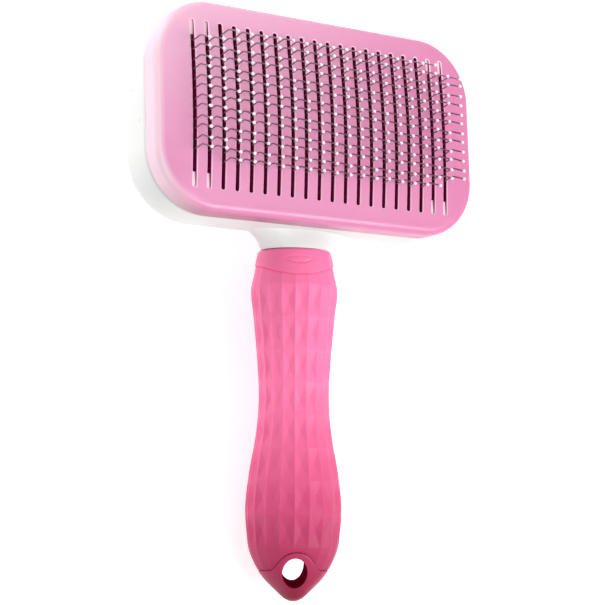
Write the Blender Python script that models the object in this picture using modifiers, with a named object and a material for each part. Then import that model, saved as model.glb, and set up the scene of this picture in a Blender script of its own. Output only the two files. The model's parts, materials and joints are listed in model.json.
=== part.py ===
"""Self-cleaning slicker brush, lying on its back.

X runs across the head, +Y towards the head's top, +Z along the pins.

Pressing the back button lifts the slotted face plate along the fixed pins, and four springs return it.
Everything is modelled in the head's frame, whose origin is the middle of the face plate's flat face.
"""

import math

import bmesh
import bpy
from mathutils import Matrix, Vector

GAP = 0.0003

# The head's frame in the world: the brush rests at z = 0 and is centred along y.
FACE_Y = 0.0583
FACE_Z = 0.03755

# Head outline, half sizes.
HEAD_X = 0.0600
HEAD_Y = 0.0334
HEAD_R = 0.0200
CORNER_STEPS = 6

# Face plate.
PLATE_T = 0.0016
FACE_FILLET = 0.0024
CROWN = 0.0020
CROWN_INSETS = (0.0060, 0.0110, 0.0190, 0.0310)
SKIRT_Z = -0.0074
SKIRT_WALL = 0.0018
INNER_SKIRT_Z = -0.0172
INNER_SKIRT_WALL = 0.0015
SLOT_COUNT = 20
SLOT_PITCH = 0.0050
SLOT_WIDTH = 0.0018
SLOT_HALF = 0.0263
POCKET_Z = -0.0018
POST_X = 0.0450
POST_Y = 0.0238
POST_R = 0.0026
POST_ROOT = (0.0042, 0.0029)
POST_ROOT_Z = -0.0039
POST_END_Z = -0.0192

# Back shell.
SHELL_WALL = 0.0019
SHELL_BACK_Z = -0.0245
SHELL_FLOOR_Z = -0.0225
SHELL_EDGE_R = 0.0080
SHELL_BULGE = 0.0007
PILLAR_X = 0.0523
PILLAR_Y = 0.0110
PILLAR_R = 0.0029
ACCESS_R = 0.0030

# Neck stations: y, half width, z of the front and of the back.
NECK = (
    (-0.0322, 0.0240, -0.0098, -0.0190),
    (-0.0338, 0.0205, -0.0096, -0.0205),
    (-0.0352, 0.0171, -0.0094, -0.0228),
    (-0.0368, 0.0144, -0.0092, -0.0252),
    (-0.0382, 0.0126, -0.0090, -0.0272),
    (-0.0392, 0.0116, -0.0090, -0.0282),
)

# Pins: U staples whose legs stand in the slots, knee first, tips leaning towards the handle.
BASE_TOP_Z = -0.0045
BASE_LOW_Z = -0.0067
BASE_INSET = 0.0043
PIN_SLOT_WIDTH = 0.0010
STAPLE_PITCH = 0.00625
STAPLE_WIDTH = 0.0028
STAPLES_Y = 0.00215
FULL_STAPLES = 7
SHORT_STAPLES = 6
SHORT_COLUMNS = (1, 2, 19, 20)
WIRE_R = 0.00025
BEAD_R = 0.00062
KNEE = (0.0006, 0.0054)
TIP = (-0.0016, 0.0110)
BAR_HALF = 0.00035
BAR_Z = -0.00735

# Clamp plate behind the bars.
CLAMP_TOP_Z = -0.0080
CLAMP_LOW_Z = -0.0092
CLAMP_SCREW_YS = (-0.0230, 0.0262)

# Button and yoke.
YOKE_X = 0.0486
YOKE_Y = 0.0273
YOKE_R = 0.0056
YOKE_TOP_Z = -0.0195
YOKE_LOW_Z = -0.0219
BUTTON_X = 0.0310
BUTTON_Y = 0.0180
BUTTON_R = 0.0117
BUTTON_EDGE = 0.0025
BUTTON_WALL = 0.0020

# Springs.
SPRING_R = 0.00375
SPRING_WIRE_R = 0.00035
SPRING_TURNS = 3.5
SPRING_POINTS = 9

# Handle, in its own frame: distance runs from the neck to the tip, the front is its local +Z.
HANDLE_Y = -0.0405
HANDLE_Z = -0.0189
HANDLE_TILT = math.radians(3.26)
HANDLE_TURN = math.radians(25.0)
HANDLE_FLATNESS = ((0.0800, 0.88), (0.1010, 0.66))
HANDLE_PROFILE = (
    (-0.0010, 0.0119), (0.0039, 0.0129), (0.0117, 0.0140), (0.0195, 0.0132), (0.0350, 0.0118),
    (0.0465, 0.0113), (0.0580, 0.0122), (0.0695, 0.0142), (0.0809, 0.0154), (0.0900, 0.0148),
    (0.0945, 0.0141), (0.0998, 0.0118), (0.1035, 0.0092), (0.1073, 0.0054), (0.1095, 0.0029),
    (0.1103, 0.0012),
)
RIDGES = 20
RIDGE_TURN = math.radians(4.0)
COLLAR_END = 0.0037
COLLAR_DIP = 0.0035
PATTERN_START = 0.0104
PATTERN_ROWS = 8
ROW_HEIGHT = 0.010375
DENT_DEPTH = 0.00045
TIP_START = 0.1006
FRONT_ARCH = (0.0055, math.radians(46.0))
BACK_ARCH = (0.0060, math.radians(66.0))
SLEEVE_STEP = 0.0005
SLEEVE_WALL = 0.0026
TANG = (0.0070, 0.0045)
TANG_LENGTH = 0.0360
HOLE_AT = 0.1000
HOLE_TILT = math.radians(12.5)
HOLE_TURN = math.radians(3.0)
HOLE_HALF = (0.0040, 0.0051)

for old in list(bpy.data.objects):
    bpy.data.objects.remove(old, do_unlink=True)


# ---------------------------------------------------------------- helpers


def collection(name):
    made = bpy.data.collections.new(name)
    bpy.context.scene.collection.children.link(made)
    return made


PARTS = collection("slicker_brush")
CUTTERS = collection("cutters")
CUTTERS.hide_render = True


def empty(name, parent=None, location=(0, 0, 0), rotation=(0, 0, 0), order="XYZ"):
    made = bpy.data.objects.new(name, None)
    made.parent = parent
    made.location = location
    made.rotation_mode = order
    made.rotation_euler = rotation
    made.empty_display_size = 0.01
    PARTS.objects.link(made)
    return made


HEAD = empty("head_frame", location=(0, FACE_Y, FACE_Z))
PLUNGER = empty("plunger_axis", parent=HEAD)
HANDLE = empty(
    "handle_frame",
    parent=HEAD,
    location=(0, HANDLE_Y, HANDLE_Z),
    rotation=(HANDLE_TILT, -HANDLE_TURN, 0),
    order="YXZ",
)


def material(name, color, roughness, metallic=0.0):
    made = bpy.data.materials.new(name)
    made.use_nodes = True
    shader = made.node_tree.nodes["Principled BSDF"]
    shader.inputs["Base Color"].default_value = (*color, 1)
    shader.inputs["Roughness"].default_value = roughness
    shader.inputs["Metallic"].default_value = metallic
    made.diffuse_color = (*color, 1)
    return made


LIGHT_PINK = material("light_pink_plastic", (0.86, 0.46, 0.60), 0.35)
DEEP_PINK = material("deep_pink_plastic", (0.84, 0.22, 0.40), 0.40)
SOFT_PINK = material("soft_pink_grip", (0.85, 0.24, 0.42), 0.60)
WHITE = material("white_plastic", (0.90, 0.89, 0.86), 0.35)
MAROON = material("dark_maroon_plastic", (0.06, 0.012, 0.02), 0.50)
PIN_STEEL = material("pin_steel", (0.62, 0.62, 0.64), 0.30, 1.0)
SPRING_STEEL = material("spring_steel", (0.45, 0.45, 0.46), 0.35, 1.0)
SCREW_STEEL = material("screw_steel", (0.55, 0.55, 0.52), 0.35, 1.0)


def part(made, surface, parent=HEAD):
    """The object as a part of the brush, in its material and on its parent."""
    made.data.materials.clear()
    made.data.materials.append(surface)
    made.parent = parent
    PARTS.objects.link(made)
    return made


def helper(made, parent=HEAD):
    """The object as a Boolean operand, which is left out of the build."""
    made.parent = parent
    made.hide_render = True
    made.display_type = "WIRE"
    CUTTERS.objects.link(made)
    return made


def mesh_object(name, bm, smooth_angle=None):
    bmesh.ops.recalc_face_normals(bm, faces=bm.faces)
    mesh = bpy.data.meshes.new(name)
    bm.to_mesh(mesh)
    bm.free()
    if smooth_angle is not None:
        mesh.shade_smooth()
        mesh.set_sharp_from_angle(angle=math.radians(smooth_angle))
    return bpy.data.objects.new(name, mesh)


def join_rings(bm, rings, caps=True, around=False):
    """Skins a list of rings of points. A ring of one point is an apex; around joins the last to the first."""
    made = [[bm.verts.new(point) for point in ring] for ring in rings]
    pairs = list(zip(made, made[1:])) + ([(made[-1], made[0])] if around else [])
    for ring, following in pairs:
        count = max(len(ring), len(following))
        for i in range(count):
            j = (i + 1) % count
            corners = [ring[i % len(ring)], ring[j % len(ring)]]
            corners += [following[j % len(following)], following[i % len(following)]]
            bm.faces.new(list(dict.fromkeys(corners)))
    if caps:
        for ring in (made[0], made[-1]):
            if len(ring) > 2:
                bm.faces.new(ring)
    return made


def loft(name, rings, caps=True, around=False, smooth_angle=40):
    bm = bmesh.new()
    join_rings(bm, rings, caps, around)
    return mesh_object(name, bm, smooth_angle)


def rounded_rect(half_x, half_y, radius, z=0.0):
    points = []
    for quarter, (sx, sy) in enumerate(((1, 1), (-1, 1), (-1, -1), (1, -1))):
        for step in range(CORNER_STEPS + 1):
            angle = math.pi / 2 * (quarter + step / CORNER_STEPS)
            x = sx * (half_x - radius) + radius * math.cos(angle)
            y = sy * (half_y - radius) + radius * math.sin(angle)
            points.append(Vector((x, y, z)))
    return points


def stepped_rings(half_x, half_y, radius, profile):
    """Rings of one rounded rectangle, each inset and placed by its (inset, z) in the profile."""
    return [rounded_rect(half_x - inset, half_y - inset, radius - inset, z) for inset, z in profile]


def arc(center, radius, start, end, steps):
    """(inset, z) points on a circle, from one angle to another in degrees."""
    angles = [math.radians(start + (end - start) * i / steps) for i in range(steps + 1)]
    return [(center[0] + radius * math.cos(a), center[1] + radius * math.sin(a)) for a in angles]


def slot_outline(x, low, high, width):
    """A slot along y with small round corners."""
    half_x, half_y = width / 2, (high - low) / 2
    radius = width * 0.3
    points = []
    for quarter, (sx, sy) in enumerate(((1, 1), (-1, 1), (-1, -1), (1, -1))):
        for step in range(2):
            angle = math.pi / 2 * (quarter + step)
            points.append((
                x + sx * (half_x - radius) + radius * math.cos(angle),
                (low + high) / 2 + sy * (half_y - radius) + radius * math.sin(angle),
            ))
    return points


def circle(x, y, radius, sides=16):
    angles = [2 * math.pi * i / sides for i in range(sides)]
    return [(x + radius * math.cos(a), y + radius * math.sin(a)) for a in angles]


def outline_plate(name, outlines, low, high):
    """A flat plate from closed outlines, the first outside and the rest holes."""
    curve = bpy.data.curves.new(name, "CURVE")
    curve.dimensions = "2D"
    curve.fill_mode = "BOTH"
    curve.extrude = (high - low) / 2
    for outline in outlines:
        spline = curve.splines.new("POLY")
        spline.points.add(len(outline) - 1)
        for point, place in zip(spline.points, outline):
            point.co = (place[0], place[1], 0, 1)
        spline.use_cyclic_u = True
    guide = bpy.data.objects.new(name, curve)
    return as_mesh(guide, Matrix.Translation((0, 0, (low + high) / 2)))


def as_mesh(guide, place):
    """A mesh object from a curve object, with its caps welded on."""
    name = guide.name
    bpy.context.scene.collection.objects.link(guide)
    bpy.context.view_layer.update()
    graph = bpy.context.evaluated_depsgraph_get()
    mesh = bpy.data.meshes.new_from_object(guide.evaluated_get(graph))
    bpy.data.objects.remove(guide, do_unlink=True)
    bm = bmesh.new()
    bm.from_mesh(mesh)
    bpy.data.meshes.remove(mesh)
    bmesh.ops.remove_doubles(bm, verts=bm.verts, dist=1e-6)
    bmesh.ops.transform(bm, matrix=place, verts=bm.verts)
    return mesh_object(name, bm)


def cylinders(name, places, radius, low, high, sides=16):
    bm = bmesh.new()
    for x, y in places:
        middle = Matrix.Translation((x, y, (low + high) / 2))
        sizes = {"radius1": radius, "radius2": radius, "depth": high - low}
        bmesh.ops.create_cone(bm, cap_ends=True, segments=sides, matrix=middle, **sizes)
    return mesh_object(name, bm)


def boxes(name, places, half_x, half_y, low, high):
    bm = bmesh.new()
    for x, y in places:
        size = Matrix.Diagonal((2 * half_x, 2 * half_y, high - low, 1))
        bmesh.ops.create_cube(bm, size=1, matrix=Matrix.Translation((x, y, (low + high) / 2)) @ size)
    return mesh_object(name, bm)


def boolean(target, operand, operation):
    modifier = target.modifiers.new(operand.name, "BOOLEAN")
    modifier.operation = operation
    modifier.object = operand


def corners(x, y):
    return [(sx * x, sy * y) for sx in (-1, 1) for sy in (-1, 1)]


def turned(name, profile, surface, location, parent, sides=12):
    """A turned piece: (radius, z) points run down its outer side from the axis to the axis."""
    mesh = bpy.data.meshes.new(name)
    edges = [(i, i + 1) for i in range(len(profile) - 1)]
    mesh.from_pydata([(radius, 0, z) for radius, z in profile], edges, [])
    made = part(bpy.data.objects.new(name, mesh), surface, parent)
    made.location = location
    screw = made.modifiers.new("turn", "SCREW")
    screw.steps = sides
    screw.render_steps = sides
    screw.use_merge_vertices = True
    screw.merge_threshold = 0.00001
    return made


def column_x(column):
    return (column - (SLOT_COUNT + 1) / 2) * SLOT_PITCH


def staple_count(column):
    return SHORT_STAPLES if column in SHORT_COLUMNS else FULL_STAPLES


def pin_places(column):
    """The y of each pin where it leaves the face plate."""
    count = staple_count(column)
    middles = [STAPLES_Y + (i - (count - 1) / 2) * STAPLE_PITCH for i in range(count)]
    return [middle + side * STAPLE_WIDTH / 2 for middle in middles for side in (-1, 1)]


def pin_lean(z):
    """How far the lower leg stands off its place at height z."""
    return KNEE[0] * z / KNEE[1]


# ---------------------------------------------------------------- head


def crown(x, y):
    """How far the face stands above its rim: a soft pillow that is fullest along its middle."""
    across = 1 - min(abs(x) / (HEAD_X - FACE_FILLET), 1.0) ** 7
    up = 1 - min(abs(y) / (HEAD_Y - FACE_FILLET), 1.0) ** 2
    return CROWN * across * up**1.3


def crowned_rings(drop):
    """Rings of the crowned face, from near its rim to its middle, lowered by drop."""
    rings = []
    for inset in CROWN_INSETS:
        ring = rounded_rect(HEAD_X - inset, HEAD_Y - inset, max(HEAD_R - inset, 0.0015))
        rings.append([(x, y, crown(x, y) - drop) for x, y, _ in ring])
    return rings


def face_plate():
    ledge = SHELL_WALL + 1.5 * GAP
    inner = ledge + INNER_SKIRT_WALL
    profile = [(FACE_FILLET, 0.0)]
    profile += arc((FACE_FILLET, -FACE_FILLET), FACE_FILLET, 120, 180, 2)
    profile += [(0.0, SKIRT_Z), (ledge, SKIRT_Z), (ledge, INNER_SKIRT_Z), (inner, INNER_SKIRT_Z)]
    profile += [(inner, SKIRT_Z + SKIRT_WALL), (SKIRT_WALL, SKIRT_Z + 2 * SKIRT_WALL)]
    profile += [(SKIRT_WALL, -PLATE_T)]
    rings = stepped_rings(HEAD_X, HEAD_Y, HEAD_R, profile)
    rings = crowned_rings(0.0)[::-1] + rings + crowned_rings(PLATE_T)
    made = loft("face_plate", rings)
    part(made, LIGHT_PINK, PLUNGER)
    root_y = POST_Y + 0.0009
    roots = boxes("post_roots", corners(POST_X, root_y), *POST_ROOT, POST_ROOT_Z, -PLATE_T / 2)
    boolean(made, helper(roots, PLUNGER), "UNION")
    posts = cylinders("posts", corners(POST_X, POST_Y), POST_R, POST_END_Z, POST_ROOT_Z + 0.001)
    boolean(made, helper(posts, PLUNGER), "UNION")
    slots = bmesh.new()
    for column in range(1, SLOT_COUNT + 1):
        outline = slot_outline(column_x(column), -SLOT_HALF, SLOT_HALF, SLOT_WIDTH)
        join_rings(slots, [[(x, y, z) for x, y in outline] for z in (CROWN + 0.001, POCKET_Z)])
    boolean(made, helper(mesh_object("slot_cutters", slots), PLUNGER), "DIFFERENCE")
    holes = cylinders("post_bores", corners(POST_X, POST_Y), 0.0014, POST_END_Z - 0.001, -0.008, 10)
    boolean(made, helper(holes, PLUNGER), "DIFFERENCE")


def back_shell():
    rim = SKIRT_Z - GAP
    edge_z = SHELL_BACK_Z + SHELL_EDGE_R
    inner_edge = SHELL_EDGE_R - SHELL_WALL
    profile = [(SHELL_EDGE_R, SHELL_FLOOR_Z)]
    profile += arc((SHELL_EDGE_R, edge_z), inner_edge, 270, 180, 3)[1:]
    profile += [(SHELL_WALL, rim), (0.0, rim), (-SHELL_BULGE, edge_z + 0.003)]
    profile += arc((SHELL_EDGE_R - SHELL_BULGE, edge_z), SHELL_EDGE_R, 180, 270, 5)
    made = part(loft("back_shell", stepped_rings(HEAD_X, HEAD_Y, HEAD_R, profile)), WHITE)
    neck = loft("neck", [neck_ring(*station) for station in NECK])
    boolean(made, helper(neck), "UNION")
    tang_rings = [
        [(x, -along, z) for x, z, _ in rounded_rect(*TANG, 0.002)] for along in (-0.002, TANG_LENGTH)
    ]
    boolean(made, helper(loft("tang", tang_rings), HANDLE), "UNION")
    places = corners(PILLAR_X, PILLAR_Y)
    pillars = cylinders("pillars", places, PILLAR_R, SHELL_FLOOR_Z - 0.001, BASE_LOW_Z - GAP)
    boolean(made, helper(pillars), "UNION")
    bores = cylinders("pillar_bores", places, 0.0015, -0.0185, 0.0, 10)
    boolean(made, helper(bores), "DIFFERENCE")
    places = corners(POST_X, POST_Y)
    access = cylinders("access_holes", places, ACCESS_R, SHELL_BACK_Z - 0.002, SHELL_FLOOR_Z + 0.0002)
    boolean(made, helper(access), "DIFFERENCE")
    opening = loft(
        "button_opening",
        [
            rounded_rect(BUTTON_X + GAP, BUTTON_Y + GAP, BUTTON_R + GAP, z)
            for z in (SHELL_FLOOR_Z + 0.001, SHELL_BACK_Z - 0.001)
        ],
    )
    boolean(made, helper(opening), "DIFFERENCE")


def neck_ring(y, half_x, front, back, sides=28):
    """An oval ring of the neck. The rings lean more and more, up to the handle's own tilt."""
    middle, half_z = (front + back) / 2, (front - back) / 2
    lean = math.tan(HANDLE_TILT) * (y - NECK[0][0]) / (NECK[-1][0] - NECK[0][0])
    angles = [2 * math.pi * i / sides for i in range(sides)]
    ring = [(math.sin(a), math.cos(a)) for a in angles]
    return [(half_x * side, y - lean * half_z * top, middle + half_z * top) for side, top in ring]


def flat(ring):
    return [(x, y) for x, y, _ in ring]


def pin_base():
    outlines = [flat(rounded_rect(HEAD_X - BASE_INSET, HEAD_Y - BASE_INSET, HEAD_R - BASE_INSET))]
    for column in range(1, SLOT_COUNT + 1):
        places = pin_places(column)
        low = places[0] + pin_lean(BASE_LOW_Z) - 0.0007
        high = places[-1] + pin_lean(BASE_TOP_Z) + 0.0007
        outlines.append(slot_outline(column_x(column), low, high, PIN_SLOT_WIDTH))
    outlines += [circle(x, y, POST_R + 0.0004) for x, y in corners(POST_X, POST_Y)]
    outlines += [circle(x, y, 0.0015, 10) for x, y in corners(PILLAR_X, PILLAR_Y)]
    outlines += [circle(0, y, 0.0011, 8) for y in CLAMP_SCREW_YS]
    part(outline_plate("pin_base", outlines, BASE_LOW_Z, BASE_TOP_Z), MAROON)


def clamp_plate():
    """A plate that spans the staples' backs and steps in beside the two upper posts."""
    wide, narrow = 0.0488, 0.0384
    low, shoulder, high = -0.0185, 0.0194, 0.0240
    ear, ear_low, ear_high = 0.0030, -0.0262, 0.0286
    outline = [
        (-wide, low), (-ear, low), (-ear, ear_low), (ear, ear_low), (ear, low), (wide, low),
        (wide, shoulder), (narrow, shoulder), (narrow, high), (ear, high), (ear, ear_high),
        (-ear, ear_high), (-ear, high), (-narrow, high), (-narrow, shoulder), (-wide, shoulder),
    ]
    bores = [circle(0, y, 0.0011, 8) for y in CLAMP_SCREW_YS]
    part(outline_plate("clamp_plate", [outline, *bores], CLAMP_LOW_Z, CLAMP_TOP_Z), MAROON)


def pin_rings(y):
    """Rings of one wire from inside the bar to the ball tip, which ends in an apex."""
    low = Vector((0, y + pin_lean(BAR_Z), BAR_Z))
    knee = Vector((0, y + KNEE[0], KNEE[1]))
    tip = Vector((0, y + TIP[0], TIP[1]))
    lower, upper = (knee - low).normalized(), (tip - knee).normalized()
    stations = (
        (low, lower, WIRE_R),
        (knee, (lower + upper).normalized(), WIRE_R),
        (tip - upper * BEAD_R, upper, WIRE_R),
        (tip, upper, BEAD_R),
    )
    rings = []
    for place, along, radius in stations:
        side = Vector((0, -along.z, along.y)) * radius
        across = Vector((radius * math.sin(math.radians(60)), 0, 0))
        rings.append([place + side, place + across - side / 2, place - across - side / 2])
    return rings + [[tip + upper * BEAD_R]]


def pin_row(column):
    places = pin_places(column)
    low = places[0] + pin_lean(BAR_Z) - 0.0005
    high = places[-1] + pin_lean(BAR_Z) + 0.0005
    name = f"pin_row_{column:02d}"
    x = column_x(column)
    middle, half = (low + high) / 2, (high - low) / 2
    bar = boxes(name, [(0, middle)], BAR_HALF, half, BAR_Z - BAR_HALF, BAR_Z + BAR_HALF)
    bar.location.x = x
    part(bar, PIN_STEEL)
    wires = bmesh.new()
    for y in places:
        join_rings(wires, pin_rings(y))
    made = helper(mesh_object(f"{name}_wires", wires))
    made.location.x = x
    boolean(bar, made, "UNION")


def back_button():
    pad_low = -FACE_Z
    profile = [(BUTTON_WALL + BUTTON_EDGE, pad_low + BUTTON_WALL)]
    profile += [(BUTTON_WALL, pad_low + BUTTON_WALL + BUTTON_EDGE)]
    profile += [(BUTTON_WALL, YOKE_TOP_Z), (0.0, YOKE_TOP_Z)]
    profile += arc((BUTTON_EDGE, pad_low + BUTTON_EDGE), BUTTON_EDGE, 180, 270, 4)
    made = loft("back_button", stepped_rings(BUTTON_X, BUTTON_Y, BUTTON_R, profile))
    part(made, DEEP_PINK, PLUNGER)
    inset = BUTTON_WALL / 2
    outlines = [flat(rounded_rect(YOKE_X, YOKE_Y, YOKE_R))]
    outlines += [flat(rounded_rect(BUTTON_X - inset, BUTTON_Y - inset, BUTTON_R - inset))]
    outlines += [circle(x, y, 0.0014, 10) for x, y in corners(POST_X, POST_Y)]
    yoke = outline_plate("yoke", outlines, YOKE_LOW_Z, YOKE_TOP_Z)
    boolean(made, helper(yoke, PLUNGER), "UNION")
    low, high = YOKE_LOW_Z - 0.001, YOKE_LOW_Z + 0.0013
    sinks = cylinders("screw_sinks", corners(POST_X, POST_Y), 0.0024, low, high)
    boolean(made, helper(sinks, PLUNGER), "DIFFERENCE")


def return_springs():
    top = BASE_LOW_Z - GAP - SPRING_WIRE_R
    low = YOKE_TOP_Z + GAP + SPRING_WIRE_R
    steps = int(SPRING_TURNS * SPRING_POINTS)
    for number, (x, y) in enumerate(corners(POST_X, POST_Y), 1):
        curve = bpy.data.curves.new(f"return_spring_{number}", "CURVE")
        curve.dimensions = "3D"
        curve.bevel_depth = SPRING_WIRE_R
        curve.bevel_resolution = 1
        curve.use_fill_caps = True
        spline = curve.splines.new("POLY")
        spline.points.add(steps)
        for step, point in enumerate(spline.points):
            angle = 2 * math.pi * step / SPRING_POINTS
            height = top + (low - top) * step / steps
            point.co = (SPRING_R * math.cos(angle), SPRING_R * math.sin(angle), height, 1)
        made = part(bpy.data.objects.new(curve.name, curve), SPRING_STEEL)
        made.location = (x, y, 0)


# Turned profiles, (radius, z) from the end of the head to the end of the shank.
BASE_SCREW = (
    (0, 0.0015), (0.0018, 0.0015), (0.0026, 0.0006), (0.0026, 0), (0.0012, 0), (0.0012, -0.012), (0, -0.0128),
)
POST_SCREW = (
    (0, 0.0110), (0.0011, 0.0102), (0.0011, 0.0012), (0.0021, 0.0012), (0.0021, 0.0003), (0.0016, 0), (0, 0),
)
CLAMP_SCREW = (
    (0, 0.0011), (0.0009, 0.0011), (0.0015, 0.0005), (0.0015, 0), (0.0008, 0), (0.0008, -0.0046),
    (0, -0.0048),
)


def screws():
    head_z = BASE_TOP_Z + GAP
    for number, (x, y) in enumerate(corners(PILLAR_X, PILLAR_Y), 1):
        turned(f"base_screw_{number}", BASE_SCREW, SCREW_STEEL, (x, y, head_z), HEAD)
    for number, (x, y) in enumerate(corners(POST_X, POST_Y), 1):
        place = (x, y, YOKE_LOW_Z + 0.0001 - GAP)
        turned(f"post_screw_{number}", POST_SCREW, SCREW_STEEL, place, PLUNGER)
    for number, y in enumerate(CLAMP_SCREW_YS, 1):
        turned(f"clamp_screw_{number}", CLAMP_SCREW, SCREW_STEEL, (0, y, head_z), HEAD, 10)


# ---------------------------------------------------------------- handle


def half_width(along):
    """The handle's half width at a distance from the neck: a smooth curve through the profile's points."""
    points = HANDLE_PROFILE
    along = min(max(along, points[0][0]), points[-1][0])
    i = max(k for k in range(len(points) - 1) if points[k][0] <= along)

    def slope(k):
        low, high = points[max(k - 1, 0)], points[min(k + 1, len(points) - 1)]
        return (high[1] - low[1]) / (high[0] - low[0])

    (start, a), (end, b) = points[i], points[i + 1]
    step = end - start
    t = (along - start) / step
    curve = (2 * t**3 - 3 * t**2 + 1) * a + (t**3 - 2 * t**2 + t) * step * slope(i)
    return curve + (3 * t**2 - 2 * t**3) * b + (t**3 - t**2) * step * slope(i + 1)


def flatness(along):
    """The handle's depth as a share of its width: less towards the tip."""
    (start, high), (end, low) = HANDLE_FLATNESS
    t = min(max((along - start) / (end - start), 0.0), 1.0)
    return high + (low - high) * t * t * (3 - 2 * t)


def ridge_angles(count):
    """Angles round the handle from its front: the ridges, and with twice the count the flats' middles too."""
    start = math.pi / RIDGES if count == RIDGES else 0.0
    return [RIDGE_TURN + start + 2 * math.pi * i / count for i in range(count)]


def between_ridges(line, angle):
    """The value of a line round the handle, drawn straight from ridge to ridge."""
    step = 2 * math.pi / RIDGES
    place = (angle - RIDGE_TURN) / step - 0.5
    low = math.floor(place)
    share = place - low
    before, after = (RIDGE_TURN + (low + k) * step for k in (0.5, 1.5))
    return line(before) * (1 - share) + line(after) * share


def collar_line(angle):
    """Where the collar ends: lower at the front."""
    return COLLAR_END + COLLAR_DIP * max(0.0, math.cos(angle)) ** 2


def tip_line(angle):
    """Where the tip starts: it rises in an arch over the hang hole, front and back."""
    turn = abs((angle + math.pi) % (2 * math.pi) - math.pi)
    rise, half = FRONT_ARCH if turn < math.pi / 2 else BACK_ARCH
    off = min(min(turn, math.pi - turn) / half, 1.0)
    return TIP_START - rise * (1 - (off * off * (3 - 2 * off)) ** 1.3)


def handle_ring(along, grow, count):
    """One ring round the handle. along is a distance, or a line round the handle."""
    ring = []
    for angle in ridge_angles(count):
        place = between_ridges(along, angle) if callable(along) else along
        half = half_width(place) + grow
        ring.append((half * math.sin(angle), -place, half * flatness(place) * math.cos(angle)))
    return ring


def shifted(line, by):
    return lambda angle: line(angle) + by


def hang_hole():
    bm = bmesh.new()
    aim = Matrix.Rotation(-HOLE_TURN, 4, "Y") @ Matrix.Rotation(HOLE_TILT, 4, "X")
    size = Matrix.Diagonal((*HOLE_HALF, 1, 1))
    place = Matrix.Translation((0, -HOLE_AT, 0)) @ aim @ size
    bmesh.ops.create_cone(bm, cap_ends=True, segments=20, radius1=1, radius2=1, depth=0.05, matrix=place)
    return helper(mesh_object("hang_hole", bm), HANDLE)


def handle_core():
    around = 2 * RIDGES
    rod = -SLEEVE_WALL - 2 * GAP
    rows = [PATTERN_START + ROW_HEIGHT * i for i in range(PATTERN_ROWS + 1)]
    rings = [handle_ring(-0.0008, -0.0004, around), handle_ring(-0.0002, 0, around)]
    rings += [handle_ring(collar_line, 0, around), handle_ring(collar_line, rod, around)]
    rings += [handle_ring(along, rod, around) for along in rows[1:]]
    rings += [handle_ring(tip_line, 1.3 * rod, around), handle_ring(tip_line, 0, around)]
    rings += [handle_ring(along, 0, around) for along in (0.1030, 0.1055, 0.1078, 0.1094, 0.1103)]
    made = part(loft("handle_core", rings), DEEP_PINK, HANDLE)
    pocket_rings = [
        [(x, -along, z) for x, z, _ in rounded_rect(TANG[0] + GAP, TANG[1] + GAP, 0.0023)]
        for along in (-0.004, TANG_LENGTH + 0.001)
    ]
    boolean(made, helper(loft("tang_pocket", pocket_rings), HANDLE), "DIFFERENCE")
    boolean(made, HANG_HOLE, "DIFFERENCE")


def grip_sleeve():
    rows = [PATTERN_START + ROW_HEIGHT * i for i in range(PATTERN_ROWS + 1)]
    outside = [handle_ring(shifted(collar_line, GAP), -SLEEVE_STEP, RIDGES)]
    outside += [handle_ring(along, 0, RIDGES) for along in rows]
    outside += [handle_ring(shifted(tip_line, -3 * GAP), -SLEEVE_STEP, RIDGES)]
    inside = [handle_ring(shifted(tip_line, -3 * GAP), -SLEEVE_WALL, RIDGES)]
    inside += [handle_ring(along, -SLEEVE_WALL, RIDGES) for along in reversed(rows[1:])]
    inside += [handle_ring(shifted(collar_line, GAP), -SLEEVE_WALL, RIDGES)]
    bm = bmesh.new()
    rings = join_rings(bm, outside + inside, caps=False, around=True)
    bmesh.ops.recalc_face_normals(bm, faces=bm.faces)
    bm.faces.ensure_lookup_table()
    first = RIDGES
    cells = bm.faces[first : first + RIDGES * PATTERN_ROWS]
    bmesh.ops.poke(bm, faces=cells, offset=-DENT_DEPTH)
    made = part(mesh_object("grip_sleeve", bm), SOFT_PINK, HANDLE)
    boolean(made, HANG_HOLE, "DIFFERENCE")


HANG_HOLE = hang_hole()
face_plate()
back_shell()
pin_base()
clamp_plate()
for column in range(1, SLOT_COUNT + 1):
    pin_row(column)
back_button()
return_springs()
screws()
handle_core()
grip_sleeve()
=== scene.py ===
"""The slicker brush's looks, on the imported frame: X across the head, +Y to its top, +Z along the pins."""

import json
import math
import random

import bmesh
import bpy
from mathutils import Matrix, Vector

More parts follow.
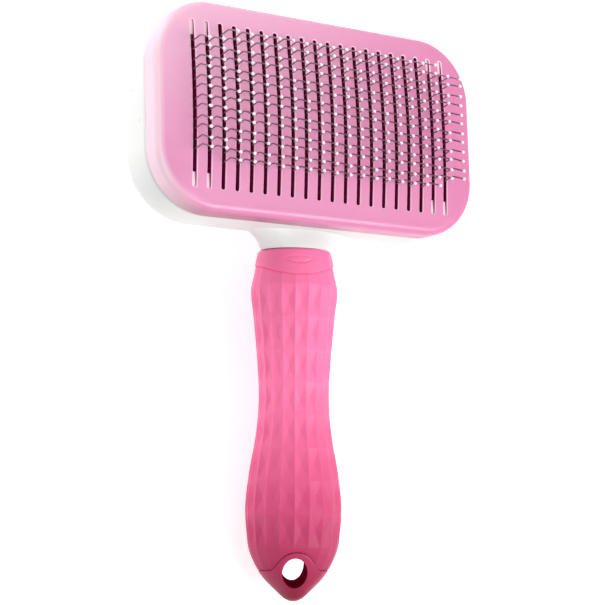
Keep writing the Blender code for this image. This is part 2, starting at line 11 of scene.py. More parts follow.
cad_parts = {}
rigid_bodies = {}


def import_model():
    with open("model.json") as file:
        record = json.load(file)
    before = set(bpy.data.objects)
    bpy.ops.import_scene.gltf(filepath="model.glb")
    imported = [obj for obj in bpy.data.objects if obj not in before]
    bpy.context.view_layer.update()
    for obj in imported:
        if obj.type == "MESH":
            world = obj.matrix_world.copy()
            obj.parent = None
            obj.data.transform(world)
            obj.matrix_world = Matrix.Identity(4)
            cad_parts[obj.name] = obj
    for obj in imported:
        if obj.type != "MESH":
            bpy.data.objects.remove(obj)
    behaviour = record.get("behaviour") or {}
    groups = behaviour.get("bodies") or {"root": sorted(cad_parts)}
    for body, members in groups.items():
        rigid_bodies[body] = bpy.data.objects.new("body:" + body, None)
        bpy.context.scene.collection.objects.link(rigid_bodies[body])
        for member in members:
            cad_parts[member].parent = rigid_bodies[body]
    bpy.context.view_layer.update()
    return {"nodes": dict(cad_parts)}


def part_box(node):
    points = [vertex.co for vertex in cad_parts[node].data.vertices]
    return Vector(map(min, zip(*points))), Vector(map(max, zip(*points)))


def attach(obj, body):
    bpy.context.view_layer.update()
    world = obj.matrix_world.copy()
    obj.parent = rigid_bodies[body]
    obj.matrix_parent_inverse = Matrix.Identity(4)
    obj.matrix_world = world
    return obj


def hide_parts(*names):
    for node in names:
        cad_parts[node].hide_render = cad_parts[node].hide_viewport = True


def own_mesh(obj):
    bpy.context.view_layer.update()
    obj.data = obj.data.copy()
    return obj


for old in list(bpy.data.objects):
    bpy.data.objects.remove(old, do_unlink=True)

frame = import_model()

# Lengths are in metres. A half size is from the middle, and a grow or an inset is across a surface.
FACE_Y = 0.0583
FACE_Z = 0.03755
HEAD = Matrix.Translation((0, FACE_Y, FACE_Z))

# Head. Heights (z) are from the face plate's rim.
HEAD_X, HEAD_Y, HEAD_R = 0.0600, 0.0334, 0.0200
CORNER_STEPS = 20
FACE_FILLET = 0.0024
SKIRT_Z = -0.0074
SKIRT_WALL = 0.0018
INNER_SKIRT_Z = -0.0172
INNER_SKIRT_WALL = 0.0015
PLATE_T = 0.0016
CROWN = 0.0020
FLUSH = 0.00002  # keeps the mouth of a cut just clear of the surface it opens in
CROWN_INSETS = (
    0.0030, 0.0036, 0.0044, 0.0055, 0.0075, 0.010, 0.013, 0.016, 0.020, 0.024, 0.028, 0.0320,
)
CROWN_LEAST_R = 0.0012
GAP = 0.0003
SMALL_EDGE = 0.0003
SLOT_COUNT = 20
SLOT_PITCH = 0.0050
SLOT_WIDTH = 0.0020
SLOT_HALF = 0.0263
SLOT_EDGE = 0.00033  # the chamfer round a slot's mouth
SLOT_CUT_Z = (0.0040, -0.0030)
POST_X, POST_Y, POST_R = 0.0450, 0.0238, 0.0026
POST_Z = (-0.0192, -0.0038)
# The blocks at the posts' roots, which show through the outer slots, painted pale for the light that falls on
# them.
ROOT_HALF, ROOT_R, ROOT_SHIFT, ROOT_DROP, ROOT_LOW_Z = (0.0046, 0.0031), 0.0006, 0.0009, 0.0008, -0.0039
SHELL_WALL = 0.0019
SHELL_BACK_Z = -0.0245
SHELL_FLOOR_Z = -0.0225
SHELL_EDGE_R = 0.0080
SHELL_BULGE = 0.0007
ACCESS_R = 0.0030
PILLAR_X, PILLAR_Y, PILLAR_R, PILLAR_TOP_Z = 0.0523, 0.0110, 0.0029, -0.0070
BUTTON_X, BUTTON_Y, BUTTON_R, BUTTON_EDGE = 0.0310, 0.0180, 0.0117, 0.0025
BUTTON_WALL = 0.0020
BUTTON_FLOOR = 0.0045  # where the button's inner corner starts, from its side and from its back
BUTTON_GROOVE = ((0.0040, 0.0), (0.0044, 0.0004), (0.0050, 0.0004), (0.0054, 0.0))
YOKE_X, YOKE_Y, YOKE_R, YOKE_TOP_Z, YOKE_LOW_Z = 0.0486, 0.0273, 0.0056, -0.0195, -0.0219
SPRING_R, SPRING_WIRE_R, SPRING_END, SPRING_TURNS, SPRING_KEPT = 0.00375, 0.00034, 0.00036, 3.5, 0.26

# Pins.
STAPLE_PITCH = 0.00625
STAPLE_WIDTH = 0.0028
STAPLES_Y = 0.00215  # the middle of a column's staples
SHORT_COLUMNS = (1, 2, 19, 20)
WIRE_R = 0.00024
BEAD_R = 0.00056
KNEE = (0.0006, 0.0054)  # y from the pin's own place, and z
TIP = (-0.0016, 0.0110)
BAR_Z = -0.00735
BAR_SHIFT = KNEE[0] * BAR_Z / KNEE[1]
BEND = 0.0007  # how far from the knee its curve starts
WOBBLE_X, WOBBLE_Y, LOW_TIP = 0.00010, 0.00022, 0.00022

# Handle. Its own Y runs up to the head, so a place "along" it is at -Y, and angle 0 is its front.
HANDLE_Y, HANDLE_Z = -0.0405, -0.0189
HANDLE_TILT = math.radians(3.26)
HANDLE_TURN = math.radians(25.0)
HANDLE_FLATNESS = ((0.0800, 0.88), (0.1010, 0.66))  # depth over width, up to here and from here on
TANG_HALF, TANG_R, TANG_ENDS = (0.0070, 0.0045), 0.0020, (-0.002, 0.036)
HANDLE_PROFILE = (  # along, half width
    (-0.0010, 0.0119), (0.0039, 0.0129), (0.0117, 0.0140), (0.0195, 0.0132), (0.0350, 0.0118),
    (0.0465, 0.0113), (0.0580, 0.0122), (0.0695, 0.0142), (0.0809, 0.0154), (0.0900, 0.0148),
    (0.0945, 0.0141), (0.0998, 0.0118), (0.1035, 0.0092), (0.1073, 0.0054), (0.1095, 0.0029),
    (0.1103, 0.0012),
)
RIDGES = 20
COLLAR_START, COLLAR_WALL = -0.0011, 0.0022
COLLAR_END, COLLAR_DIP = 0.0037, 0.0035
PATTERN_START, PATTERN_ROWS, ROW_HEIGHT = 0.0104, 8, 0.010375
RIDGE_TURN = math.radians(4.0)
DENT_DEPTH = 0.00070
SLEEVE_DEPTH = 0.0030
FLATS_END = 0.0934
ARC_HALF, ARC_SPREAD = 0.0046, 0.00028
TIP_START, TIP_LIP = 0.1006, 0.0005
# How far the grip's end rises at the front and back, and the half angle of that arch.
FRONT_ARCH = (0.0055, math.radians(46.0))
BACK_ARCH = (0.0060, math.radians(66.0))
HOLE_AT = 0.1000
HOLE_TILT = math.radians(12.5)
HOLE_TURN = math.radians(3.0)
HOLE_HALF = (0.0040, 0.0051)
THROUGH = 0.02  # half the length of a tool that cuts right through the handle
HANDLE = (
    HEAD
    @ Matrix.Translation((0, HANDLE_Y, HANDLE_Z))
    @ Matrix.Rotation(HANDLE_TILT, 4, "X")
    @ Matrix.Rotation(-HANDLE_TURN, 4, "Y")
)


# ---------------------------------------------------------------- materials


class Nodes:
    """A material's node tree, with short calls for the nodes that the materials here share."""

    def __init__(self, name):
        self.material = bpy.data.materials.new(name)
        self.material.use_nodes = True
        self.tree = self.material.node_tree
        self.shader = self.tree.nodes["Principled BSDF"]
        self.place = self.tree.nodes.new("ShaderNodeTexCoord").outputs["Object"]

    def link(self, out, into):
        self.tree.links.new(out, into)

    def put(self, **values):
        for key, value in values.items():
            self.shader.inputs[key.replace("_", " ")].default_value = value

    def noise(self, scale, detail=3.0, rough=0.5, stretch=None):
        node = self.tree.nodes.new("ShaderNodeTexNoise")
        node.inputs["Scale"].default_value = scale
        node.inputs["Detail"].default_value = detail
        node.inputs["Roughness"].default_value = rough
        source = self.place
        if stretch:
            mapping = self.tree.nodes.new("ShaderNodeMapping")
            mapping.inputs["Scale"].default_value = stretch
            self.link(self.place, mapping.inputs["Vector"])
            source = mapping.outputs["Vector"]
        self.link(source, node.inputs["Vector"])
        return node.outputs["Fac"]

    def remap(self, value, low, high, start=0.3, end=0.7):
        node = self.tree.nodes.new("ShaderNodeMapRange")
        node.inputs["From Min"].default_value = start
        node.inputs["From Max"].default_value = end
        node.inputs["To Min"].default_value = low
        node.inputs["To Max"].default_value = high
        self.link(value, node.inputs["Value"])
        return node.outputs["Result"]

    def ramp(self, value, *stops):
        node = self.tree.nodes.new("ShaderNodeValToRGB")
        elements = node.color_ramp.elements
        while len(elements) < len(stops):
            elements.new(0.5)
        for element, (at, color) in zip(elements, stops):
            element.position = at
            element.color = (*color, 1)
        self.link(value, node.inputs["Fac"])
        return node.outputs["Color"]

    def mix(self, factor, a, b):
        node = self.tree.nodes.new("ShaderNodeMix")
        node.data_type = "RGBA"
        for value, index in ((factor, 0), (a, 6), (b, 7)):
            if isinstance(value, bpy.types.NodeSocket):
                self.link(value, node.inputs[index])
            else:
                node.inputs[index].default_value = (*value, 1) if isinstance(value, tuple) else value
        return node.outputs[2]

    def coordinate(self, axis):
        node = self.tree.nodes.new("ShaderNodeSeparateXYZ")
        self.link(self.place, node.inputs[0])
        return node.outputs[axis]

    def product(self, values):
        made = values[0]
        for value in values[1:]:
            node = self.tree.nodes.new("ShaderNodeMath")
            node.operation = "MULTIPLY"
            self.link(made, node.inputs[0])
            self.link(value, node.inputs[1])
            made = node.outputs[0]
        return made

    def bump(self, height, strength, distance):
        node = self.tree.nodes.new("ShaderNodeBump")
        node.inputs["Strength"].default_value = strength
        node.inputs["Distance"].default_value = distance
        self.link(height, node.inputs["Height"])
        self.link(node.outputs["Normal"], self.shader.inputs["Normal"])

    def color(self, out):
        self.link(out, self.shader.inputs["Base Color"])

    def roughness(self, out):
        self.link(out, self.shader.inputs["Roughness"])


def moulded(
    name, color, shade, roughness, grain, grain_depth, scatter=0.0, radius=(1, 1, 1), painted_fades=(), gloss=0.5
):
    """Moulded plastic: slow colour drift, a fine spark-eroded grain, and uneven gloss.

    Each fade is painted light or shade: the colour it reaches, then its ranges: an axis, where the fade
    starts and where it is full.
    """
    made = Nodes(name)
    drift = made.noise(38.0, 2.0)
    body = made.ramp(drift, (0.35, shade), (0.65, color))
    for painted_color, *ranges in painted_fades:
        shares = [made.remap(made.coordinate(axis), 0.0, 1.0, start, full) for axis, start, full in ranges]
        body = made.mix(made.product(shares), body, painted_color)
    made.color(body)
    made.roughness(made.remap(made.noise(240.0, 4.0, 0.6), roughness - 0.05, roughness + 0.07))
    made.bump(made.noise(grain, 3.0, 0.6), 0.25, grain_depth)
    made.put(Subsurface_Weight=scatter, Subsurface_Scale=0.004, Subsurface_Radius=radius, IOR=1.47)
    made.put(Specular_IOR_Level=gloss)
    return made.material


def scaled(color, by):
    return tuple(channel * by for channel in color)


def pink_shaded_to_tip(name, grain, grain_depth, roughness):
    """The handle's pink, with painted shade that deepens it towards its tip."""
    made = Nodes(name)
    along = made.remap(made.coordinate("Y"), 0.0, 1.0, -0.092, 0.020)
    body = made.ramp(
        along, (0.0, END_SHADED_PINK), (0.10, TIP_SHADED_PINK), (0.28, LOW_SHADED_PINK), (0.58, GRIP_PINK), (1.0, GRIP_PINK)
    )
    cloud = made.remap(made.noise(45.0, 3.0), 0.0, 0.10)
    made.color(made.mix(cloud, body, scaled(GRIP_PINK, 0.80)))
    made.roughness(made.remap(made.noise(300.0, 4.0, 0.6), roughness - 0.05, roughness + 0.08))
    made.bump(made.noise(grain, 4.0, 0.65), 0.35, grain_depth)
    made.put(Subsurface_Weight=0.12, Subsurface_Scale=0.003, Subsurface_Radius=(1, 0.45, 0.5), IOR=1.45)
    made.put(Specular_IOR_Level=0.3)
    return made.material


GRIP_PINK = (0.88, 0.175, 0.360)
# Painted shade: the handle's pink darkens through these towards the tip, where its surface turns away.
LOW_SHADED_PINK = (0.58, 0.066, 0.180)
TIP_SHADED_PINK = (0.36, 0.020, 0.078)
END_SHADED_PINK = (0.20, 0.004, 0.024)
# The plate's plastic. Its fades are painted light and shade, not colours of the plastic.
PLATE = moulded(
    "light_pink_plastic", (0.645, 0.248, 0.418), (0.615, 0.228, 0.393), 0.34, 1700.0, 0.00004,
    0.10, (1, 0.5, 0.6),
    (
        # painted light: paler towards the top of the head
        ((0.80, 0.52, 0.64), ("Y", FACE_Y - 0.020, FACE_Y + 0.060)),
        # painted shade: deeper pink towards the right
        ((0.625, 0.190, 0.365), ("X", -0.060, 0.060)),
        # painted shade: the skirt darker below the rim
        ((0.54, 0.170, 0.310), ("Z", FACE_Z - 0.0014, FACE_Z - 0.0050)),
        # painted shade: the skirt darker still towards the left
        ((0.36, 0.120, 0.190), ("Z", FACE_Z - 0.0008, FACE_Z - 0.0028), ("X", 0.010, -0.030)),
        # painted light: the left edge of the rim and the skirt paler
        ((0.74, 0.51, 0.60), ("X", -0.0440, -0.0565), ("Z", FACE_Z + 0.0001, FACE_Z - 0.0003)),
    ),
)
# Painted light: the blocks at the posts' roots near white, as though lit.
PAD_LIGHT = moulded("pale_pink_painted_light", (0.86, 0.62, 0.72), (0.82, 0.57, 0.68), 0.36, 1700.0, 0.00004)
COLLAR = pink_shaded_to_tip("deep_pink_plastic", 1900.0, 0.00004, 0.36)
GRIP = pink_shaded_to_tip("soft_pink_grip", 1300.0, 0.00007, 0.50)
# Painted highlight: a pale pink for the slots' chamfers, as though lit.
EDGE_HIGHLIGHT = moulded("slot_edge_painted_highlight", (0.98, 0.62, 0.80), (0.95, 0.58, 0.76), 0.40, 1700.0, 0.00004)
# Painted shade: the slots' walls are the plate's own plastic, given a dark maroon for the shade in them.
WALL_SHADE = moulded(
    "slot_wall_painted_shade", (0.30, 0.010, 0.10), (0.25, 0.008, 0.08), 0.60, 1700.0, 0.00004, gloss=0.05
)
SHELL = moulded("white_plastic", (0.67, 0.68, 0.67), (0.65, 0.66, 0.65), 0.32, 900.0, 0.00001)
# Painted shade: the hang hole's bore, the handle's own plastic, near-black red as though unlit.
BORE_SHADE = moulded("bore_painted_shade", (0.24, 0.006, 0.030), (0.17, 0.004, 0.020), 0.8, 1500.0, 0.00004, gloss=0.0)
# Painted shade: the parts deep in the head are dark maroon, the colour of the shade at the bottom of the
# slots.
MAROON_SHADE = moulded(
    "dark_maroon_plastic", (0.26, 0.003, 0.080), (0.20, 0.002, 0.060), 0.60, 1500.0, 0.00004, gloss=0.05
)
BUTTON = moulded(
    "button_pink", (0.72, 0.16, 0.33), (0.68, 0.14, 0.30), 0.38, 1700.0, 0.00004, 0.08, (1, 0.5, 0.6)
)


def steel(name, color, roughness, stretch):
    """Drawn or turned steel: fine streaks in its gloss and colour."""
    made = Nodes(name)
    streaks = made.noise(900.0, 5.0, 0.7, stretch)
    made.color(made.mix(made.remap(streaks, 0.0, 0.5), color, scaled(color, 0.7)))
    made.roughness(made.remap(streaks, roughness - 0.06, roughness + 0.12))
    made.bump(streaks, 0.2, 0.00001)
    made.put(Metallic=1.0)
    return made.material


WIRE = steel("pin_steel", (0.36, 0.33, 0.36), 0.28, (6, 6, 0.6))
SPRING = steel("spring_steel", (0.42, 0.42, 0.43), 0.32, (4, 4, 4))
SCREW = steel("screw_steel", (0.60, 0.60, 0.56), 0.34, (1, 1, 8))
BEAD = moulded("bead_resin", (0.84, 0.81, 0.83), (0.80, 0.77, 0.79), 0.22, 1200.0, 0.00002, 0.1)


# ---------------------------------------------------------------- mesh helpers


def smooth(mesh, sharp=35):
    """Smooth shading that breaks at edges sharper than so many degrees."""
    mesh.shade_smooth()
    mesh.set_sharp_from_angle(angle=math.radians(sharp))


def flat_ring(points, z):
    return [(p[0], p[1], z) for p in points]


def finish_mesh(name, bm, place, surfaces, body, sharp=35, replaced=()):
    """The bmesh as a piece of the brush, in the world's frame, riding on its body."""
    bmesh.ops.recalc_face_normals(bm, faces=bm.faces)
    bmesh.ops.transform(bm, matrix=place, verts=bm.verts)
    mesh = bpy.data.meshes.new(name)
    bm.to_mesh(mesh)
    bm.free()
    smooth(mesh, sharp)
    made = bpy.data.objects.new(name, mesh)
    bpy.context.scene.collection.objects.link(made)
    for surface in surfaces:
        mesh.materials.append(surface)
    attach(made, body)
    if replaced:
        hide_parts(*replaced)
    return made


def join_rings(bm, rings, caps=True, around=False):
    """Skins rings of points, where a ring of one point is an apex, and returns their vertices."""
    made = [[bm.verts.new(point) for point in ring] for ring in rings]
    pairs = list(zip(made, made[1:])) + ([(made[-1], made[0])] if around else [])
    for ring, following in pairs:
        count = max(len(ring), len(following))
        for i in range(count):
            j = (i + 1) % count
            corners = [ring[i % len(ring)], ring[j % len(ring)]]
            corners += [following[j % len(following)], following[i % len(following)]]
            bm.faces.new(list(dict.fromkeys(corners)))
    if caps:
        for ring in (made[0], made[-1]):
            if len(ring) > 2:
                bm.faces.new(ring)
    return made


def rounded_rect(half_x, half_y, radius, z=0.0, steps=CORNER_STEPS):
    points = []
    for quarter, (sx, sy) in enumerate(((1, 1), (-1, 1), (-1, -1), (1, -1))):
        for step in range(steps + 1):
            angle = math.pi / 2 * (quarter + step / steps)
            x = sx * (half_x - radius) + radius * math.cos(angle)
            y = sy * (half_y - radius) + radius * math.sin(angle)
            points.append(Vector((x, y, z)))
    return points


def stepped_rings(half_x, half_y, radius, profile):
    return [rounded_rect(half_x - inset, half_y - inset, radius - inset, z) for inset, z in profile]


def arc(center, radius, start, end, steps):
    angles = [math.radians(start + (end - start) * i / steps) for i in range(steps + 1)]
    return [(center[0] + radius * math.cos(a), center[1] + radius * math.sin(a)) for a in angles]


def cutter(name, bm, place, *surfaces):
    """A Boolean's tool. Its surfaces are passed on to the faces that it leaves."""
    bmesh.ops.recalc_face_normals(bm, faces=bm.faces)
    bmesh.ops.transform(bm, matrix=place, verts=bm.verts)
    mesh = bpy.data.meshes.new(name)
    bm.to_mesh(mesh)
    bm.free()
    for surface in surfaces:
        mesh.materials.append(surface)
    made = bpy.data.objects.new(name, mesh)
    bpy.context.scene.collection.objects.link(made)
    return made


def cut(target, tool, operation="DIFFERENCE"):
    """Applies a Boolean and removes its tool."""
    modifier = target.modifiers.new("cut", "BOOLEAN")
    modifier.operation = operation
    modifier.object = tool
    if tool.data.materials:
        modifier.material_mode = "TRANSFER"
    bpy.context.view_layer.update()
    graph = bpy.context.evaluated_depsgraph_get()
    mesh = bpy.data.meshes.new_from_object(target.evaluated_get(graph))
    target.modifiers.clear()
    old = target.data
    target.data = mesh
    bpy.data.meshes.remove(old)
    bpy.data.objects.remove(tool, do_unlink=True)


def soften(target, width, segments, angle):
    bevel = target.modifiers.new("edges", "BEVEL")
    bevel.width = width
    bevel.segments = segments
    bevel.limit_method = "ANGLE"
    bevel.angle_limit = math.radians(angle)
    bevel.harden_normals = True


def angles_round(count):
    return [2 * math.pi * i / count for i in range(count)]


def corners(x, y):
    return [(sx * x, sy * y) for sx in (-1, 1) for sy in (-1, 1)]


def cylinders(bm, places, radius, low, high):
    for x, y in places:
        middle = Matrix.Translation((x, y, (low + high) / 2))
        bmesh.ops.create_cone(
            bm, cap_ends=True, segments=40, radius1=radius, radius2=radius, depth=high - low, matrix=middle
        )


def subdivided(points, step):
    fine = []
    for a, b in zip(points, points[1:] + points[:1]):
        count = max(1, math.ceil(math.dist(a, b) / step))
        fine += [(a[0] + (b[0] - a[0]) * k / count, a[1] + (b[1] - a[1]) * k / count) for k in range(count)]
    return fine


def slot_outline(x, half, width):
    """A slot's outline round the column at x, with points close enough for it to follow the crown."""
    outline = rounded_rect(width / 2, half, 0.42 * width, steps=5)
    return subdivided([(x + p.x, p.y) for p in outline], 0.003)


def column_x(column):
    return (column - (SLOT_COUNT + 1) / 2) * SLOT_PITCH


# ---------------------------------------------------------------- head


def crown(x, y):
    """How far the face stands above its rim: a soft pillow that is fullest along its middle."""
    across = 1 - min(abs(x) / (HEAD_X - FACE_FILLET), 1.0) ** 7
    up = 1 - min(abs(y) / (HEAD_Y - FACE_FILLET), 1.0) ** 2
    return CROWN * across * up**1.3


def crowned_rings(drop):
    rings = []
    for inset in CROWN_INSETS:
        ring = rounded_rect(HEAD_X - inset, HEAD_Y - inset, max(HEAD_R - inset, CROWN_LEAST_R))
        rings.append([(x, y, crown(x, y) - drop) for x, y, _ in ring])
    return rings


def face_plate():
    ledge = SHELL_WALL + 1.5 * GAP
    inner = ledge + INNER_SKIRT_WALL
    profile = [(FACE_FILLET, 0.0)]
    profile += arc((FACE_FILLET, -FACE_FILLET), FACE_FILLET, 90, 180, 8)[1:]
    profile += [(0.0, SKIRT_Z + SMALL_EDGE), (SMALL_EDGE, SKIRT_Z), (ledge, SKIRT_Z)]
    profile += [(ledge, INNER_SKIRT_Z), (inner, INNER_SKIRT_Z), (inner, SKIRT_Z + SKIRT_WALL)]
    profile += [(SKIRT_WALL, SKIRT_Z + 2 * SKIRT_WALL), (SKIRT_WALL, -PLATE_T)]
    bm = bmesh.new()
    rings = stepped_rings(HEAD_X, HEAD_Y, HEAD_R, profile)
    join_rings(bm, crowned_rings(0.0)[::-1] + rings + crowned_rings(PLATE_T))
    made = finish_mesh(
        "plate_body", bm, HEAD, [PLATE], "plunger", replaced=["face_plate"]
    )
    slots = bmesh.new()
    for column in range(1, SLOT_COUNT + 1):
        x0 = column_x(column)
        wide = slot_outline(x0, SLOT_HALF + SLOT_EDGE, SLOT_WIDTH)
        narrow = slot_outline(x0, SLOT_HALF, SLOT_WIDTH - 2 * SLOT_EDGE)
        above = [(x, y, crown(x, y) + FLUSH) for x, y in wide]
        below = [(x, y, crown(x, y) - SLOT_EDGE) for x, y in narrow]
        high, low = SLOT_CUT_Z
        _, mouth, throat, _ = join_rings(slots, [flat_ring(wide, high), above, below, flat_ring(narrow, low)])
        for outer, inner_vert in zip(mouth, throat):
            for face in outer.link_faces:
                if inner_vert in face.verts:
                    face.material_index = 1  # the chamfer, which takes the pale painted highlight
    # The slots' walls take the dark maroon painted shade, their chamfers the pale painted highlight.
    cut(made, cutter("slots", slots, HEAD, WALL_SHADE, EDGE_HIGHLIGHT))
    smooth(made.data)
    pads = bmesh.new()
    for x, y in corners(POST_X, POST_Y + ROOT_SHIFT):
        ring = [(x + p.x, y + p.y) for p in rounded_rect(*ROOT_HALF, ROOT_R, steps=4)]
        join_rings(pads, [flat_ring(ring, z) for z in (crown(x, y) - ROOT_DROP, ROOT_LOW_Z)])
    cylinders(pads, corners(POST_X, POST_Y), POST_R, *POST_Z)
    finish_mesh("plate_posts", pads, HEAD, [PAD_LIGHT], "plunger")


# The shell's neck: y, half width, front z and back z of each station.
NECK = (
    (-0.0322, 0.0240, -0.0098, -0.0190),
    (-0.0338, 0.0205, -0.0096, -0.0205),
    (-0.0352, 0.0171, -0.0094, -0.0228),
    (-0.0368, 0.0144, -0.0092, -0.0252),
    (-0.0382, 0.0126, -0.0090, -0.0272),
    (-0.0392, 0.0116, -0.0090, -0.0282),
)


def eased(points, at):
    """A smooth value through (place, value, value...) points: Catmull-Rom by place."""
    at = min(max(at, points[0][0]), points[-1][0])
    i = max(k for k in range(len(points) - 1) if points[k][0] <= at)

    def slope(k, c):
        low, high = points[max(k - 1, 0)], points[min(k + 1, len(points) - 1)]
        return (high[c] - low[c]) / (high[0] - low[0])

    step = points[i + 1][0] - points[i][0]
    t = (at - points[i][0]) / step
    values = []
    for c in range(1, len(points[0])):
        a, b = points[i][c], points[i + 1][c]
        curve = (2 * t**3 - 3 * t**2 + 1) * a + (t**3 - 2 * t**2 + t) * step * slope(i, c)
        values.append(curve + (3 * t**2 - 2 * t**3) * b + (t**3 - t**2) * step * slope(i + 1, c))
    return values


def neck_ring(y):
    """The neck's outline at y, which leans towards the handle's tilt as it nears the handle."""
    half_x, front, back = eased([(-s[0], *s[1:]) for s in NECK], -y)
    middle, half_z = (front + back) / 2, (front - back) / 2
    lean = math.tan(HANDLE_TILT) * (y - NECK[0][0]) / (NECK[-1][0] - NECK[0][0])
    return [
        (half_x * math.sin(a), y - lean * half_z * math.cos(a), middle + half_z * math.cos(a))
        for a in angles_round(96)
    ]


def back_shell():
    rim = SKIRT_Z - GAP
    edge_z = SHELL_BACK_Z + SHELL_EDGE_R
    profile = [(SHELL_EDGE_R, SHELL_FLOOR_Z)]
    profile += arc((SHELL_EDGE_R, edge_z), SHELL_EDGE_R - SHELL_WALL, 270, 180, 8)[1:]
    profile += [(SHELL_WALL, rim), (SMALL_EDGE, rim), (0.0, rim - SMALL_EDGE)]
    profile += [
        (-SHELL_BULGE * math.sin(i / 8 * math.pi / 2), rim - SMALL_EDGE + (edge_z + 0.003 - rim) * i / 8)
        for i in range(1, 9)
    ]
    profile += arc((SHELL_EDGE_R - SHELL_BULGE, edge_z), SHELL_EDGE_R, 180, 270, 14)
    bm = bmesh.new()
    join_rings(bm, stepped_rings(HEAD_X, HEAD_Y, HEAD_R, profile))
    made = finish_mesh(
        "shell_body", bm, HEAD, [SHELL], "brush", replaced=["back_shell"]
    )
    neck = bmesh.new()
    steps = 22
    start, end = NECK[0][0], NECK[-1][0]
    join_rings(neck, [neck_ring(start + (end - start) * i / steps) for i in range(steps + 1)])
    cut(made, cutter("neck", neck, HEAD), "UNION")
    tools = bmesh.new()
    cylinders(tools, corners(POST_X, POST_Y), ACCESS_R, SHELL_BACK_Z - 0.002, SHELL_FLOOR_Z + 0.0002)
    outline = rounded_rect(BUTTON_X + GAP, BUTTON_Y + GAP, BUTTON_R + GAP)
    join_rings(tools, [flat_ring(outline, z) for z in (SHELL_FLOOR_Z + 0.001, SHELL_BACK_Z - 0.001)])
    cut(made, cutter("openings", tools, HEAD))
    smooth(made.data)
    pillars = bmesh.new()
    cylinders(pillars, corners(PILLAR_X, PILLAR_Y), PILLAR_R, SHELL_FLOOR_Z - 0.0005, PILLAR_TOP_Z)
    finish_mesh("shell_pillars", pillars, HEAD, [SHELL], "brush")
    tang = bmesh.new()
    outline = rounded_rect(*TANG_HALF, TANG_R, steps=6)
    join_rings(tang, [[(p.x, -along, p.y) for p in outline] for along in TANG_ENDS])
    finish_mesh("shell_tang", tang, HANDLE, [SHELL], "brush")


def pin_places(column):
    count = 6 if column in SHORT_COLUMNS else 7
    middles = [STAPLES_Y + (i - (count - 1) / 2) * STAPLE_PITCH for i in range(count)]
    return [middle + side * STAPLE_WIDTH / 2 for middle in middles for side in (-1, 1)]


def wire(bm, path):
    """Round wire along a path in a plane across X."""
    rings = []
    for k, point in enumerate(path):
        along = (path[min(k + 1, len(path) - 1)] - path[max(k - 1, 0)]).normalized()
        other = along.cross(Vector((1, 0, 0))).normalized()
        side = other.cross(along)
        rings.append([
            point + (side * math.cos(a) + other * math.sin(a)) * WIRE_R for a in angles_round(7)
        ])
    join_rings(bm, rings)


def pin(bm, x0, y, chance):
    """One leg of a staple, with its knee, its bead and a small error of its own."""
    wobble_x = chance.uniform(-WOBBLE_X, WOBBLE_X)
    wobble_y = chance.uniform(-WOBBLE_Y, WOBBLE_Y)
    lift = chance.uniform(-LOW_TIP, 0.0)
    low = Vector((x0, y + BAR_SHIFT, BAR_Z))
    knee = Vector((x0 + wobble_x * 0.4, y + KNEE[0] + wobble_y * 0.3, KNEE[1] + lift * 0.6))
    tip = Vector((x0 + wobble_x, y + TIP[0] + wobble_y, TIP[1] + lift))
    before = knee + (low - knee).normalized() * BEND
    after = knee + (tip - knee).normalized() * BEND
    end = tip - (tip - knee).normalized() * BEAD_R * 0.5
    bend = [before.lerp(knee, t).lerp(knee.lerp(after, t), t) for t in (0, 0.34, 0.67, 1)]
    wire(bm, [low, *bend, end])
    start = len(bm.faces)
    bmesh.ops.create_uvsphere(
        bm, u_segments=10, v_segments=7, radius=BEAD_R, matrix=Matrix.Translation(tip)
    )
    bm.faces.ensure_lookup_table()
    for face in bm.faces[start:]:
        face.material_index = 1  # BEAD


def pin_rows():
    """The staples of each slot: drawn wire with a rounded knee, and a resin bead on each tip."""
    chance = random.Random(11)
    for column in range(1, SLOT_COUNT + 1):
        bm = bmesh.new()
        x0 = column_x(column)
        places = pin_places(column)
        for y in places:
            pin(bm, x0, y, chance)
        across = [(x0 + WIRE_R * math.cos(t), BAR_Z + WIRE_R * math.sin(t)) for t in angles_round(8)]
        for ends in zip(places[::2], places[1::2]):
            join_rings(bm, [[(x, y + BAR_SHIFT, z) for x, z in across] for y in ends])
        finish_mesh(
            f"pins_{column:02d}", bm, HEAD, [WIRE, BEAD], "brush", 60, [f"pin_row_{column:02d}"]
        )


def back_button():
    low = -FACE_Z
    profile = [(BUTTON_FLOOR, low + BUTTON_WALL), (BUTTON_WALL, low + BUTTON_FLOOR)]
    profile += [(BUTTON_WALL, YOKE_LOW_Z), (0.0, YOKE_LOW_Z)]
    profile += arc((BUTTON_EDGE, low + BUTTON_EDGE), BUTTON_EDGE, 180, 270, 10)
    profile += [(inset, low + depth) for inset, depth in BUTTON_GROOVE]
    bm = bmesh.new()
    join_rings(bm, stepped_rings(BUTTON_X, BUTTON_Y, BUTTON_R, profile))
    finish_mesh("button_pad", bm, HEAD, [BUTTON], "plunger", 50, ["back_button"])
    yoke = bmesh.new()
    outline = rounded_rect(YOKE_X, YOKE_Y, YOKE_R, steps=8)
    join_rings(yoke, [flat_ring(outline, z) for z in (YOKE_TOP_Z, YOKE_LOW_Z)])
    plate = finish_mesh("button_yoke", yoke, HEAD, [BUTTON], "plunger")
    tools = bmesh.new()
    cylinders(tools, corners(POST_X, POST_Y), 0.0024, YOKE_LOW_Z - 0.0010, -0.0206)
    window = rounded_rect(BUTTON_X - BUTTON_WALL, BUTTON_Y - BUTTON_WALL, BUTTON_R - BUTTON_WALL)
    join_rings(tools, [flat_ring(window, z) for z in (YOKE_TOP_Z + 0.0005, YOKE_LOW_Z - 0.0010)])
    cut(plate, cutter("yoke_cuts", tools, HEAD))


